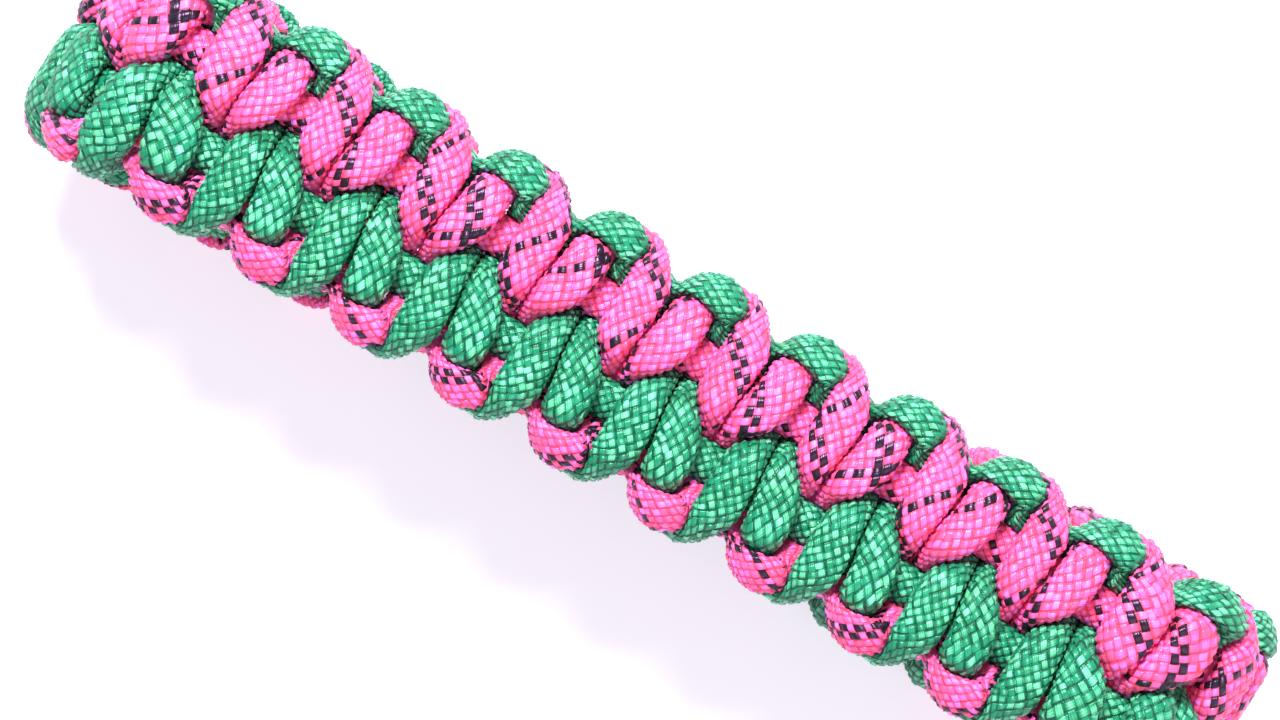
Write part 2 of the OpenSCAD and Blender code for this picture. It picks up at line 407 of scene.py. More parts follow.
    def evened(self, values: np.ndarray) -> np.ndarray:
        """Averages values along the repeat, over a fiftieth of it to either side.

        Args:
            values: One value for each section.

        Returns:
            The averaged values.
        """
        reach = max(2, len(values) // 50)
        padded = np.concatenate([values[-reach:], values, values[:reach]])
        return np.convolve(padded, np.ones(2 * reach + 1) / (2 * reach + 1), mode="valid")

    def rings(self) -> np.ndarray:
        """Presses the strand's round section against everything round it, keeping its area.

        Returns:
            The corners of every section over one repeat.
        """
        band = self.band
        repeats = range(-2, 3)
        other = np.vstack([band.mirrored(self.line) + k * band.repeat for k in (-3, *repeats)])
        limits = [self.beside(other)]
        so_far = lengths_along(np.vstack([self.line, self.line[:1] + band.repeat]))
        for k in repeats:
            apart = np.abs(so_far[None, :-1] + k * so_far[-1] - so_far[:-1, None])
            near = (apart > self.own_reach)[:, None, :]
            limits.append(self.beside(self.line + k * band.repeat, near))
        limits += [self.outline(), self.bends()]
        limits += [self.round_core(side * band.core_place) for side in (-1, 1)]
        free = self.free
        wedge = 0.5 * math.sin(2 * math.pi / SIDES)
        for _ in range(self.rounds):
            lengths = self.softest([*limits, np.broadcast_to(free[:, None], limits[0].shape)])
            area = wedge * (lengths * np.roll(lengths, -1, axis=1)).sum(axis=1)
            free = free * (1 + self.each_round * (self.area - area) / self.area)
            free = np.clip(free, self.free * self.least_share, self.free * self.most_share)
            free = self.evened(np.minimum(free, self.widest))
        return self.line[:, None, :] + self.ways * lengths[:, :, None]


@dataclass
class BraidedTube:
    """A tube of sections that is covered in the floats of a braid."""

    rings: np.ndarray
    sheath: Sheath
    rows: int
    repeat: np.ndarray | None = None
    corners: int = 96
    row_reach: float = 0.35
    turn_reach: float = 0.02

    @cached_property
    def grid(self) -> np.ndarray:
        """Spaces each section's corners evenly and closes the sections and the repeat.

        Returns:
            The sections, one more than given where the tube repeats.
        """
        closed = np.concatenate([self.rings, self.rings[:, :1]], axis=1)
        made = np.stack([even_steps(ring, self.corners + 1) for ring in closed])
        if self.repeat is not None:
            made = np.concatenate([made, made[:1] + self.repeat], axis=0)
        return made

    def place(self, row: np.ndarray, around: np.ndarray) -> np.ndarray:
        """Looks up places on the tube.

        Args:
            row: Place along the tube in rows of the braid.
            around: Place round the tube in turns.

        Returns:
            The points.
        """
        grid = self.grid
        count = len(grid) - 1
        share = row / self.rows
        whole = np.zeros(share.shape)
        if self.repeat is not None:
            whole = np.floor(share)
            share = share - whole
        share = np.clip(share, 0, 1) * count
        low = np.minimum(share.astype(int), count - 1)
        part = (share - low)[:, None]
        turn = (around % 1.0) * self.corners
        left = np.minimum(turn.astype(int), self.corners - 1)
        over = (turn - left)[:, None]
        near = grid[low, left] * (1 - over) + grid[low, left + 1] * over
        far = grid[low + 1, left] * (1 - over) + grid[low + 1, left + 1] * over
        found = near * (1 - part) + far * part
        if self.repeat is not None:
            found = found + whole[:, None] * self.repeat
        return found

    def outward(self, row: np.ndarray, around: np.ndarray) -> np.ndarray:
        """Finds which way the surface faces.

        Args:
            row: Place along the tube in rows of the braid.
            around: Place round the tube in turns.

        Returns:
            Unit vectors that point out of the tube.
        """
        reach = self.row_reach
        turn = self.turn_reach
        ahead = self.place(row + reach, around) - self.place(row - reach, around)
        beside = self.place(row, around + turn) - self.place(row, around - turn)
        return unit(np.cross(beside, ahead))

    def floats(self) -> np.ndarray:
        """Lists the floats of the braid: one where each two yarns cross.

        Returns:
            The lower numbers of the two yarns that bound each float.
        """
        total, row = np.meshgrid(np.arange(2 * YARNS_EACH_WAY), np.arange(self.rows), indexing="ij")
        crossing = (total + row) % 2 == 0
        total = total[crossing]
        row = row[crossing]
        return np.stack([(total + row) // 2, (total - row) // 2], axis=1)

    def braid(self) -> BraidMesh:
        """Covers the tube in floats: six triangles each, with a low ridge along the yarn.

        Returns:
            The mesh of the braid.
        """
        low = self.floats()
        # Corners of a float in half yarns, counted round it, and then the two ends of its ridge
        square = np.array([[0, 0], [2, 0], [2, 2], [0, 2]])
        crowns = np.array([[[0.5, 1], [1.5, 1]], [[1, 0.5], [1, 1.5]]])
        winds = low.sum(axis=1) % 2
        squares = np.broadcast_to(square, (len(low), 4, 2))
        corner = 2.0 * low[:, None, :] + np.concatenate([squares, crowns[winds]], axis=1)
        total = corner.sum(axis=2)
        row = (corner[:, :, 0] - corner[:, :, 1]) / 2
        if self.repeat is None:
            inside = ((row >= 0) & (row <= self.rows)).all(axis=1)
            low, winds, corner, total, row = (v[inside] for v in (low, winds, corner, total, row))
        # Each corner is shared by its floats, so it is found by its turn and row in whole numbers
        turn = 8 * YARNS_EACH_WAY
        key = np.stack([np.round(2 * total).ravel() % turn, np.round(4 * row).ravel()], axis=1)
        unique, where = np.unique(key, axis=0, return_inverse=True)
        where = where.reshape(corner.shape[:2])
        around = unique[:, 0] / turn
        place = unique[:, 1] / 4
        crown = np.zeros(len(unique))
        crown[where[:, 4:].ravel()] = 1.0
        height = np.where(crown > 0, self.sheath.crown, -self.sheath.groove)
        points = self.place(place, around) + self.outward(place, around) * height[:, None]
        fans = np.array([
            [[4, 0, 1], [4, 1, 5], [5, 1, 2], [5, 2, 3], [5, 3, 4], [4, 3, 0]],
            [[4, 0, 1], [4, 1, 2], [4, 2, 5], [5, 2, 3], [5, 3, 0], [5, 0, 4]],
        ])
        fan = fans[winds]
        each = fan.shape[1]
        which = np.arange(len(low))[:, None, None]
        first_way = winds == 0
        local = np.where(first_way[:, None, None], corner[:, :, ::-1], corner) / 2.0
        return BraidMesh(
            points=points,
            crown=crown,
            triangles=where[which, fan].reshape(-1, 3),
            yarn=np.repeat(np.where(first_way, low[:, 0], low[:, 1]), each),
            winds=np.repeat(winds, each),
            row=np.repeat(low[:, 0] - low[:, 1], each),
            along_yarn=local[which, fan].reshape(-1, 3, 2),
        )


def plain_mesh(name: str, braid: BraidMesh) -> bpy.types.Mesh:
    """Turns a braid into a Blender mesh, in metres, with its marks as attributes.

    Args:
        name: Name of the mesh.
        braid: The braid.

    Returns:
        The mesh.
    """
    mesh = bpy.data.meshes.new(name)
    count = len(braid.triangles)
    mesh.vertices.add(len(braid.points))
    mesh.vertices.foreach_set("co", (braid.points * MM).astype(np.float32).ravel())
    mesh.loops.add(3 * count)
    mesh.loops.foreach_set("vertex_index", braid.triangles.ravel().astype(np.int32))
    mesh.polygons.add(count)
    mesh.polygons.foreach_set("loop_start", np.arange(0, 3 * count, 3, dtype=np.int32))
    layer = mesh.uv_layers.new(name=YARN_MAP)
    layer.data.foreach_set("uv", braid.along_yarn.astype(np.float32).ravel())
    mesh.attributes.new("crown", "FLOAT", "POINT").data.foreach_set("value", braid.crown.astype(np.float32))
    for mark in FACE_MARKS:
        values = getattr(braid, mark).astype(np.int32)
        mesh.attributes.new(mark, "INT", "FACE").data.foreach_set("value", values)
    mesh.update(calc_edges=True)
    mesh.validate()
    return mesh


@dataclass
class NodeSheet:
    """A node tree that is being drawn, with short calls for its nodes and sums."""

    tree: bpy.types.NodeTree

    def feed(self, socket: Socket, value: object) -> None:
        """Links a socket to an input, or sets the input's own value.

        Args:
            socket: The input.
            value: A socket, or the value to set.
        """
        if isinstance(value, Socket):
            self.tree.links.new(value, socket)
        else:
            socket.default_value = value

    def fill(self, node: bpy.types.Node, inputs: dict[str, object]) -> None:
        """Feeds a node's named inputs with sockets or values."""
        for name, value in inputs.items():
            self.feed(node.inputs[name], value)

    def add(self, kind: str, inputs: dict[str, object] | None = None, **settings: object) -> bpy.types.Node:
        """Adds a node.

        Args:
            kind: The node's type.
            inputs: A socket or value for each named input.
            settings: The node's own settings.

        Returns:
            The node.
        """
        node = self.tree.nodes.new(kind)
        for name, value in settings.items():
            setattr(node, name, value)
        self.fill(node, inputs or {})
        return node

    def sum(self, operation: str, *values: object) -> Socket:
        """Adds one step of arithmetic.

        Args:
            operation: Name of the Math node's operation.
            values: Sockets or numbers.

        Returns:
            The result's socket.
        """
        node = self.add("ShaderNodeMath", operation=operation)
        for socket, value in zip(node.inputs, values):
            self.feed(socket, value)
        return node.outputs[0]

    def mixed(self, share: object, one: object, two: object, way: str = "") -> Socket:
        """Mixes two values or, where a way is named, two colours.

        Args:
            share: 1 for the first and 0 for the second, or between.
            one: The first value or colour.
            two: The second, which is the ground that the first is laid on.
            way: Name of the way that colours are mixed.

        Returns:
            The result's socket.
        """
        node = self.add("ShaderNodeMix", data_type="RGBA" if way else "FLOAT", blend_type=way or "MIX")
        for place, value in zip((0, 7, 6) if way else (0, 3, 2), (share, one, two)):
            self.feed(node.inputs[place], value)
        return node.outputs[2 if way else 0]

    def ranged(self, value: Socket, low: float, high: float, start: float = 0.0, end: float = 1.0) -> Socket:
        """Stretches a value that runs from start to end onto the range from low to high."""
        seen = {"Value": value, "From Min": start, "From Max": end}
        return self.add("ShaderNodeMapRange", seen | {"To Min": low, "To Max": high}).outputs[0]

    def place(self, *values: object) -> Socket:
        """Joins up to three values into a place."""
        return self.add("ShaderNodeCombineXYZ", dict(zip("XYZ", values))).outputs[0]

    def named(self, name: str, kind: str = "INT") -> Socket:
        """Reads a named attribute of some data type in a geometry tree."""
        node = self.add("GeometryNodeInputNamedAttribute", {"Name": name}, data_type=kind)
        return node.outputs["Attribute"]

    def keep(self, geometry: Socket, name: str, value: Socket, domain: str) -> Socket:
        """Stores a named whole number on a geometry.

        Args:
            geometry: Socket of the geometry.
            name: The attribute's name.
            value: Its value.
            domain: What it belongs to.

        Returns:
            Socket of the geometry that holds it.
        """
        inputs = {"Geometry": geometry, "Name": name, "Value": value}
        node = self.add("GeometryNodeStoreNamedAttribute", inputs, data_type="INT", domain=domain)
        return node.outputs["Geometry"]


def loop_tree() -> bpy.types.NodeTree:
    """Draws the tree that repeats one knot along the band and bends the band round the loop.

    Returns:
        The tree. Its named inputs are the loop's sizes.
    """
    tree = bpy.data.node_groups.new("knots_round_the_loop", "GeometryNodeTree")
    inputs = {
        "Geometry": ("Knot",),
        "Int": ("Repeats", "Rows", "From Row", "To Row"),
        "Float": ("First Place", "Pitch", "Half Straight", "Turn Radius", "Middle Height", "Merge", "Uneven"),
        "Material": ("Finish",),
    }
    for kind, names in inputs.items():
        for name in names:
            tree.interface.new_socket(name=name, in_out="INPUT", socket_type=f"NodeSocket{kind}")
    tree.interface.new_socket(name="Cord", in_out="OUTPUT", socket_type="NodeSocketGeometry")
    sheet = NodeSheet(tree)
    calc = sheet.sum
    given = sheet.add("NodeGroupInput").outputs
    start = sheet.place(given["First Place"])
    step = sheet.place(given["Pitch"])
    line = sheet.add(
        "GeometryNodeMeshLine",
        {"Count": given["Repeats"], "Start Location": start, "Offset": step},
        mode="OFFSET",
        count_mode="TOTAL",
    )
    index = sheet.add("GeometryNodeInputIndex").outputs[0]
    marked = sheet.keep(line.outputs[0], "knot", index, "POINT")
    placed = sheet.add("GeometryNodeInstanceOnPoints", {"Points": marked, "Instance": given["Knot"]})
    knots = sheet.add("GeometryNodeRealizeInstances", {"Geometry": placed.outputs[0]}).outputs[0]

    # Rows and yarns go on counting from knot to knot, and the cord is cut off at its two ends
    rows_before = calc("MULTIPLY", sheet.named("knot"), given["Rows"])
    row = calc("ADD", sheet.named("row"), rows_before)
    way = calc("SUBTRACT", 0.5, sheet.named("winds"))
    yarn = calc("ADD", sheet.named("yarn"), calc("MULTIPLY", rows_before, way))
    knots = sheet.keep(knots, "yarn", yarn, "FACE")
    knots = sheet.keep(knots, "row", row, "FACE")
    row = sheet.named("row")
    before = calc("LESS_THAN", row, given["From Row"])
    beyond = calc("MAXIMUM", before, calc("GREATER_THAN", row, given["To Row"]))
    cut = sheet.add("GeometryNodeDeleteGeometry", {"Geometry": knots, "Selection": beyond}, domain="FACE")
    near = {"Geometry": cut.outputs[0], "Distance": given["Merge"]}
    joined = sheet.add("GeometryNodeMergeByDistance", near)

    # The band's middle runs straight, then round a half turn, then straight again underneath
    flat = sheet.add("ShaderNodeSeparateXYZ", {"Vector": sheet.add("GeometryNodeInputPosition").outputs[0]})
    x, y, z = flat.outputs
    past = calc("SUBTRACT", calc("ABSOLUTE", x), given["Half Straight"])
    turn = calc("MULTIPLY", given["Turn Radius"], math.pi)
    arc = calc("MINIMUM", calc("MAXIMUM", past, 0.0), turn)
    angle = calc("DIVIDE", arc, given["Turn Radius"])
    rest = calc("SUBTRACT", past, arc)
    radius = calc("ADD", given["Turn Radius"], z)
    sine = calc("SINE", angle)
    cosine = calc("COSINE", angle)
    out = calc("ADD", calc("MULTIPLY", rest, cosine), calc("MULTIPLY", radius, sine))
    out = calc("MULTIPLY", calc("ADD", given["Half Straight"], out), calc("SIGN", x))
    up = calc("ADD", given["Middle Height"], calc("MULTIPLY", radius, cosine))
    bent = sheet.place(out, y, calc("SUBTRACT", up, calc("MULTIPLY", rest, sine)))

    # No two floats of a real braid stand quite alike
    most = sheet.place(*[given["Uneven"]] * 3)
    least = sheet.add("ShaderNodeVectorMath", {"Vector": most, "Scale": -1.0}, operation="SCALE")
    chance = sheet.add(
        "FunctionNodeRandomValue",
        {"Min": least.outputs[0], "Max": most, "Seed": SEED},
        data_type="FLOAT_VECTOR",
    )
    crown = sheet.named("crown", "FLOAT")
    size = {"Vector": chance.outputs[0], "Scale": crown}
    nudge = sheet.add("ShaderNodeVectorMath", size, operation="SCALE")
    moved = {"Geometry": joined.outputs[0], "Position": bent, "Offset": nudge.outputs[0]}
    closed = sheet.add("GeometryNodeSetPosition", moved)
    real = sheet.add("GeometryNodeRealizeInstances", {"Geometry": closed.outputs[0]})
    dressed = sheet.add("GeometryNodeSetMaterial", {"Geometry": real.outputs[0], "Material": given["Finish"]})
    sheet.add("NodeGroupOutput", {"Cord": dressed.outputs[0]})
    return tree


def run_tree(piece: bpy.types.Object, tree: bpy.types.NodeTree, inputs: dict[str, object]) -> None:
    """Runs a geometry tree on a piece and keeps the result as its plain mesh.

    Args:
        piece: The piece, which holds the tree's first geometry.
        tree: The tree.
        inputs: A value for each of its named inputs.
    """
    modifier = piece.modifiers.new("loop", "NODES")
    modifier.node_group = tree
    for item in tree.interface.items_tree:
        if item.in_out == "INPUT" and item.name in inputs:
            modifier[item.identifier] = inputs[item.name]
    piece.update_tag()
    bpy.context.view_layer.update()
    seen = piece.evaluated_get(bpy.context.evaluated_depsgraph_get())
    made = bpy.data.meshes.new_from_object(seen)
    piece.modifiers.remove(modifier)
    start = piece.data
    piece.data = made
    made.name = piece.name
    bpy.data.meshes.remove(start)


def open_rims(work: bmesh.types.BMesh) -> list[list[bmesh.types.BMEdge]]:
    """Gathers a cord's open edges into its ends.

    Args:
        work: The cord's mesh.

    Returns:
        The edges round each end.
    """
    left = dict.fromkeys(edge for edge in work.edges if edge.is_boundary)
    rims = []
    while left:
        front = [next(iter(left))]
        rim = dict.fromkeys(front)
        while front:
            edge = front.pop()
            for other in (other for vert in edge.verts for other in vert.link_edges):
                if other in left and other not in rim:
                    rim[other] = None
                    front.append(other)
        left = {edge: None for edge in left if edge not in rim}
        rims.append(list(rim))
    return rims


def order_faces(work: bmesh.types.BMesh, start: int) -> None:
    """Puts the faces of the domes in one order, which an extrusion leaves different in each run.

    Args:
        work: The cord's mesh with its domes, in triangles.
        start: Number of vertices without the domes.
    """
    work.verts.index_update()
    work.faces.index_update()
    size = len(work.verts)
    places = []
    for face in work.faces:
        low, middle, high = sorted(vert.index for vert in face.verts)
        behind = len(work.faces) + (high * size + middle) * size + low
        places.append(face.index if high < start else behind)
    work.faces.sort(key=lambda face: places[face.index])


def close_ends(mesh: bpy.types.Mesh) -> None:
    """Closes the open ends of a cord with low melted domes.

    Args:
        mesh: The cord's mesh.
    """
    work = bmesh.new()
    work.from_mesh(mesh)
    for edges in open_rims(work):
        rim = dict.fromkeys(vert for edge in edges for vert in edge.verts)
        linked = (edge for vert in rim for edge in vert.link_edges)
        behind = [other.co for edge in linked for other in edge.verts if other not in rim]
        middle = sum((vert.co for vert in rim), Vector()) / len(rim)
        away = (middle - sum(behind, Vector()) / len(behind)).normalized()
        for share, rise in DOME_STEPS:
            made = bmesh.ops.extrude_edge_only(work, edges=edges)["geom"]
            edges = [item for item in made if isinstance(item, bmesh.types.BMEdge) and item.is_boundary]
            for vert in dict.fromkeys(vert for edge in edges for vert in edge.verts):
                level = middle + away * (vert.co - middle).dot(away)
                flat = level + (vert.co - level) * share
                vert.co = flat + away * DOME_DEPTH * MM * rise
        bmesh.ops.holes_fill(work, edges=edges, sides=0)
    bmesh.ops.triangulate(work, faces=[face for face in work.faces if len(face.verts) > 3])
    bmesh.ops.recalc_face_normals(work, faces=work.faces)
    order_faces(work, len(mesh.vertices))
    work.to_mesh(mesh)
    work.free()


def part_floats(mesh: bpy.types.Mesh) -> None:
    """Shades each float as a pillow of its own, by sharp edges between floats.

    Args:
        mesh: The braided mesh.
    """
    count = len(mesh.polygons)
    marks = np.zeros((len(FACE_MARKS), count), dtype=np.int32)
    for k, mark in enumerate(FACE_MARKS):
        mesh.attributes[mark].data.foreach_get("value", marks[k])
    edge = np.zeros(len(mesh.loops), dtype=np.int32)
    mesh.loops.foreach_get("edge_index", edge)
    owner = np.repeat(np.arange(count), 3)
    order = np.argsort(edge, kind="stable")
    first = np.searchsorted(edge[order], np.arange(len(mesh.edges)))
    one = owner[order][first]
    two = owner[order][np.minimum(first + 1, len(order) - 1)]
    sharp = (marks[:, one] != marks[:, two]).any(axis=0)
    mesh.polygons.foreach_set("use_smooth", np.ones(count, dtype=bool))
    mesh.attributes.new("sharp_edge", "BOOLEAN", "EDGE").data.foreach_set("value", sharp)
    mesh.update()


def new_material(name: str) -> tuple[bpy.types.Material, NodeSheet, bpy.types.Node]:
    """Starts a material.

    Args:
        name: Name of the material.

    Returns:
        The material, its sheet and its shader.
    """
    made = bpy.data.materials.new(name)
    made.use_nodes = True
    return made, NodeSheet(made.node_tree), made.node_tree.nodes["Principled BSDF"]


@dataclass(frozen=True)
class CordFinish:
    """Dyed nylon yarn: its colours, with painted highlight on the floats' crests and painted shade in their
    creases, and how the light runs along it. Heights in millimetres.
    """

    name: str
    # The crest's colour is a painted highlight and the crease's colour is painted shade; the body is the
    # dye's own colour
    crest_highlight: Colour
    body: Colour
    crease_shade: Colour
    glint: Colour
    # Tint of the painted bounce light and shade, laid in soft random patches
    bounce_tint: Colour
    tracer: Colour | None = None
    tracer_yarns: int = 2
    half_width: float = 0.4
    tracer_half_width: float = 0.46
    plies: int = 3
    wander: float = 0.5
    arch_power: float = 0.55
    swell_power: float = 6.0
    dullest: float = 0.42
    brightest: float = 1.12
    body_from: float = 0.35
    body_to: float = 0.55
    relief_share: float = 0.8
    crease_below: float = 0.02
    patch_scale: float = 400.0
    patch_from: float = 0.42
    patch_to: float = 0.62
    patch_share: float = 0.8
    strand_scale: tuple[float, float, float] = (1.2, 14.0, 1.0)
    arch_height: float = 0.11
    swell_height: float = 0.06
    ply_height: float = 0.02
    roughness: float = 0.31
    smoother: float = 0.08
    rougher: float = 0.1
    # Strength of a faint painted glow that stands in for the dye's fluorescence
    glow: float = 0.0

    def marked(self, sheet: NodeSheet, yarn: Socket, winds: Socket) -> Socket:
        """Gives 1 on a tracer yarn: a few wind one way, and one fewer the other way."""
        count = sheet.sum("FLOORED_MODULO", yarn, float(YARNS_EACH_WAY))
        return sheet.sum("LESS_THAN", sheet.sum("ADD", count, winds), self.tracer_yarns - 0.5)

    def weave(self, sheet: NodeSheet) -> dict[str, Socket]:
        """Works out which float lies on top at a place, and where on it the place is.

        A mesh face is the square where two yarns cross. The upper yarn is narrower than the
        square, so the lower yarn's neighbouring floats show along both of its sides.

        Args:
            sheet: The material's sheet.

        Returns:
            The float's chance, its yarn's number and winding, its arch along the yarn, its swell
            and plies across it, and the place along and across its yarn.
        """
        calc = sheet.sum
        marks = [sheet.add("ShaderNodeAttribute", attribute_name=mark) for mark in FACE_MARKS]
        yarn, winds, row = (mark.outputs["Fac"] for mark in marks)
        place = sheet.add("ShaderNodeUVMap", uv_map=YARN_MAP).outputs[0]
        along, beside, _ = sheet.add("ShaderNodeSeparateXYZ", {"Vector": place}).outputs
        u = calc("FRACT", along)
        v = calc("FRACT", beside)
        from_u = calc("SUBTRACT", u, 0.5)
        from_v = calc("SUBTRACT", v, 0.5)
        off_v = calc("ABSOLUTE", from_v)
        width = self.half_width
        if self.tracer is not None:
            # The tracer's floats are wider, so that they nearly meet at their corners
            more = self.tracer_half_width - self.half_width
            width = calc("ADD", calc("MULTIPLY", self.marked(sheet, yarn, winds), more), self.half_width)
        upper = calc("LESS_THAN", off_v, width)
        way = calc("SUBTRACT", 1.0, calc("MULTIPLY", winds, 2.0))
        other = calc("SUBTRACT", yarn, calc("MULTIPLY", row, way))
        side = calc("MULTIPLY", calc("SIGN", from_v), calc("SUBTRACT", 1.0, upper))
        float_row = calc("ADD", row, calc("MULTIPLY", side, way))
        total = calc("ADD", calc("ADD", yarn, other), side)
        cell = sheet.place(float_row, calc("FLOORED_MODULO", total, 2.0 * YARNS_EACH_WAY))
        noise = sheet.add("ShaderNodeTexWhiteNoise", {"Vector": cell}, noise_dimensions="2D")
        chance = noise.outputs["Value"]
        spot = sheet.mixed(upper, from_u, calc("SUBTRACT", from_v, side))
        # The arch's high point, and with it the painted highlight and the bump's peak, wanders along each
        # float at random
        shift = calc("MULTIPLY", calc("SUBTRACT", chance, 0.5), self.wander)
        arch = calc("DIVIDE", calc("ABSOLUTE", calc("ADD", spot, shift)), 1.0 - self.half_width)
        arch = calc("COSINE", calc("MULTIPLY", calc("MINIMUM", arch, 1.0), math.pi / 2))
        swell = calc("DIVIDE", sheet.mixed(upper, off_v, calc("ABSOLUTE", from_u)), self.half_width)
        swell = calc("SUBTRACT", 1.0, calc("POWER", swell, self.swell_power))
        across = calc("SUBTRACT", sheet.mixed(upper, v, u), 0.5 - self.half_width)
        across = calc("MULTIPLY", across, math.pi * self.plies / (2 * self.half_width))
        return {
            "chance": chance,
            "yarn": sheet.mixed(upper, yarn, other),
            "winds": sheet.mixed(upper, winds, calc("SUBTRACT", 1.0, winds)),
            "arch": calc("POWER", arch, self.arch_power),
            "swell": calc("MAXIMUM", swell, 0.0),
            "plies": calc("ABSOLUTE", calc("SINE", across)),
            "along": sheet.mixed(upper, along, beside),
            "across": sheet.mixed(upper, beside, along),
        }

    def colour(self, sheet: NodeSheet, seen: dict[str, Socket]) -> Socket:
        """Colours the yarns by the height of each float, its chance and the tracer, with painted highlight on
        the crests and painted shade in the creases.

        Args:
            sheet: The material's sheet.
            seen: What the weave found.

        Returns:
            The colour's socket.
        """
        calc = sheet.sum
        # Each float reaches its own random share of the painted highlight, for the satin's irregular flashes,
        # so its tone also differs at random
        bright = sheet.ranged(seen["chance"], self.dullest, self.brightest)
        relief = calc("MULTIPLY", seen["arch"], seen["swell"])
        plies = calc("MULTIPLY", seen["plies"], 1.0 - self.relief_share)
        shown = calc("ADD", calc("MULTIPLY", relief, self.relief_share), plies)
        shown = calc("MULTIPLY", shown, calc("GREATER_THAN", relief, self.crease_below))
        # Painted light and shade: each float's crest gets the highlight colour, its body the dye's own
        # colour, and the creases round it and between its plies the shade colour
        ramp = sheet.add("ShaderNodeValToRGB", {"Fac": calc("MULTIPLY", shown, bright)})
        stops = ramp.color_ramp.elements
        stops[0].color = (*self.crease_shade, 1)
        stops[1].color = (*self.crest_highlight, 1)
        stops.new(self.body_from).color = (*self.body, 1)
        stops.new(self.body_to).color = (*self.body, 1)
        # Painted bounce light and shade: where strands light one another the dye looks warmer, so the colour
        # is multiplied by a tint in soft random patches
        spot = sheet.add("ShaderNodeTexCoord").outputs["Object"]
        cloud = sheet.add("ShaderNodeTexNoise", {"Vector": spot, "Scale": self.patch_scale, "Detail": 1.0})
        patch = sheet.ranged(cloud.outputs["Fac"], 0.0, self.patch_share, self.patch_from, self.patch_to)
        colour = sheet.mixed(patch, (*self.bounce_tint, 1), ramp.outputs["Color"], "MULTIPLY")
        if self.tracer is not None:
            marked = self.marked(sheet, seen["yarn"], seen["winds"])
            colour = sheet.mixed(marked, (*self.tracer, 1), colour, "MIX")
        return colour

    def material(self) -> bpy.types.Material:
        """Makes the material. Its pattern follows each yarn by the piece's own map and marks.

        Returns:
            The material.
        """
        made, sheet, shader = new_material(self.name)
        seen = self.weave(sheet)
        colour = self.colour(sheet, seen)
        place = sheet.place(seen["along"], seen["across"])
        stretched = sheet.add("ShaderNodeMapping", {"Vector": place, "Scale": self.strand_scale})
        noise = {"Vector": stretched.outputs[0], "Scale": 1.0, "Detail": 2.0}
        strands = sheet.add("ShaderNodeTexNoise", noise).outputs["Fac"]
        height = 0.0
        for part, rise in (
            (seen["arch"], self.arch_height),
            (seen["swell"], self.swell_height),
            (seen["plies"], self.ply_height),
            (strands, self.ply_height),
        ):
            height = sheet.sum("ADD", height, sheet.sum("MULTIPLY", part, rise))
        bump = sheet.add("ShaderNodeBump", {"Height": height, "Strength": 1.0, "Distance": MM})
        tangent = sheet.add("ShaderNodeTangent", direction_type="UV_MAP", uv_map=YARN_MAP)
        sheet.fill(shader, {
            "Base Color": colour,
            "Roughness": sheet.ranged(strands, self.roughness - self.smoother, self.roughness + self.rougher),
            "Normal": bump.outputs[0],
            "Tangent": tangent.outputs[0],
            "Anisotropic": 0.75,
            "Anisotropic Rotation": 0.25,
            "Specular IOR Level": 0.75,
            "Specular Tint": (*self.glint, 1),
            "Sheen Weight": 0.05,
            "Sheen Tint": (*self.glint, 1),
            "Sheen Roughness": 0.4,
        })
        # Painted light: a faint glow of the yarn's colour stands in for the dye's fluorescence
        if self.glow > 0:
            sheet.fill(shader, {"Emission Color": colour, "Emission Strength": self.glow})
        return made


@dataclass(frozen=True)
class MouldedPlastic:
    """Plain black moulded plastic with a fine satin grain."""

    name: str = "moulded_plastic"
    colour: Colour = (0.018, 0.018, 0.02)
    lighter: float = 1.7
    roughness: float = 0.36
    smoother: float = 0.06
    rougher: float = 0.1
    grain_scale: float = 9000.0
    grain_strength: float = 0.25
    grain_depth: float = 0.03
    cloud_scale: float = 160.0

    def material(self) -> bpy.types.Material:
        """Makes the material, with its grain on Object coordinates.

        Returns:
            The material.
        """
        made, sheet, shader = new_material(self.name)
        place = sheet.add("ShaderNodeTexCoord").outputs["Object"]
        grain = sheet.add("ShaderNodeTexNoise", {"Vector": place, "Scale": self.grain_scale, "Detail": 2.0})
        noise = {"Vector": place, "Scale": self.cloud_scale, "Detail": 3.0}
        cloud = sheet.add("ShaderNodeTexNoise", noise).outputs["Fac"]
        light = (*(self.lighter * value for value in self.colour), 1)
        relief = {
            "Height": grain.outputs["Fac"],
            "Strength": self.grain_strength,
            "Distance": self.grain_depth * MM,
        }
        sheet.fill(shader, {
            "Base Color": sheet.mixed(cloud, light, (*self.colour, 1), "MIX"),
            "Roughness": sheet.ranged(cloud, self.roughness - self.smoother, self.roughness + self.rougher),
            "Normal": sheet.add("ShaderNodeBump", relief).outputs[0],
        })
        return made


@dataclass
class Cord:
    """A cord of the bracelet, which is braided flat and then bent round the loop."""

    name: str
    band: Band
    sheath: Sheath
    finish: CordFinish

    def flat(self) -> tuple[BraidMesh, dict[str, float]]:
        """Braids the cord flat, and gives the tree's inputs that say how the braid repeats."""
        raise NotImplementedError

    def build(self, tree: bpy.types.NodeTree) -> bpy.types.Object:
        """Makes the whole cord as one finished piece on the loop.

        Args:
            tree: The tree that repeats a knot and bends the band.

        Returns:
            The piece.
        """
        braid, run = self.flat()
        piece = bpy.data.objects.new(self.name, plain_mesh(self.name, braid))
        bpy.context.scene.collection.objects.link(piece)
        loop = {
            "Half Straight": self.band.straight / 2 * MM,
            "Turn Radius": self.band.turn_radius * MM,
            "Middle Height": self.band.middle_height * MM,
            "Merge": MERGE * MM,
            "Uneven": UNEVEN * MM,
            "Finish": self.finish.material(),
        }
        run_tree(piece, tree, run | loop)
        part_floats(piece.data)
        close_ends(piece.data)
        return piece


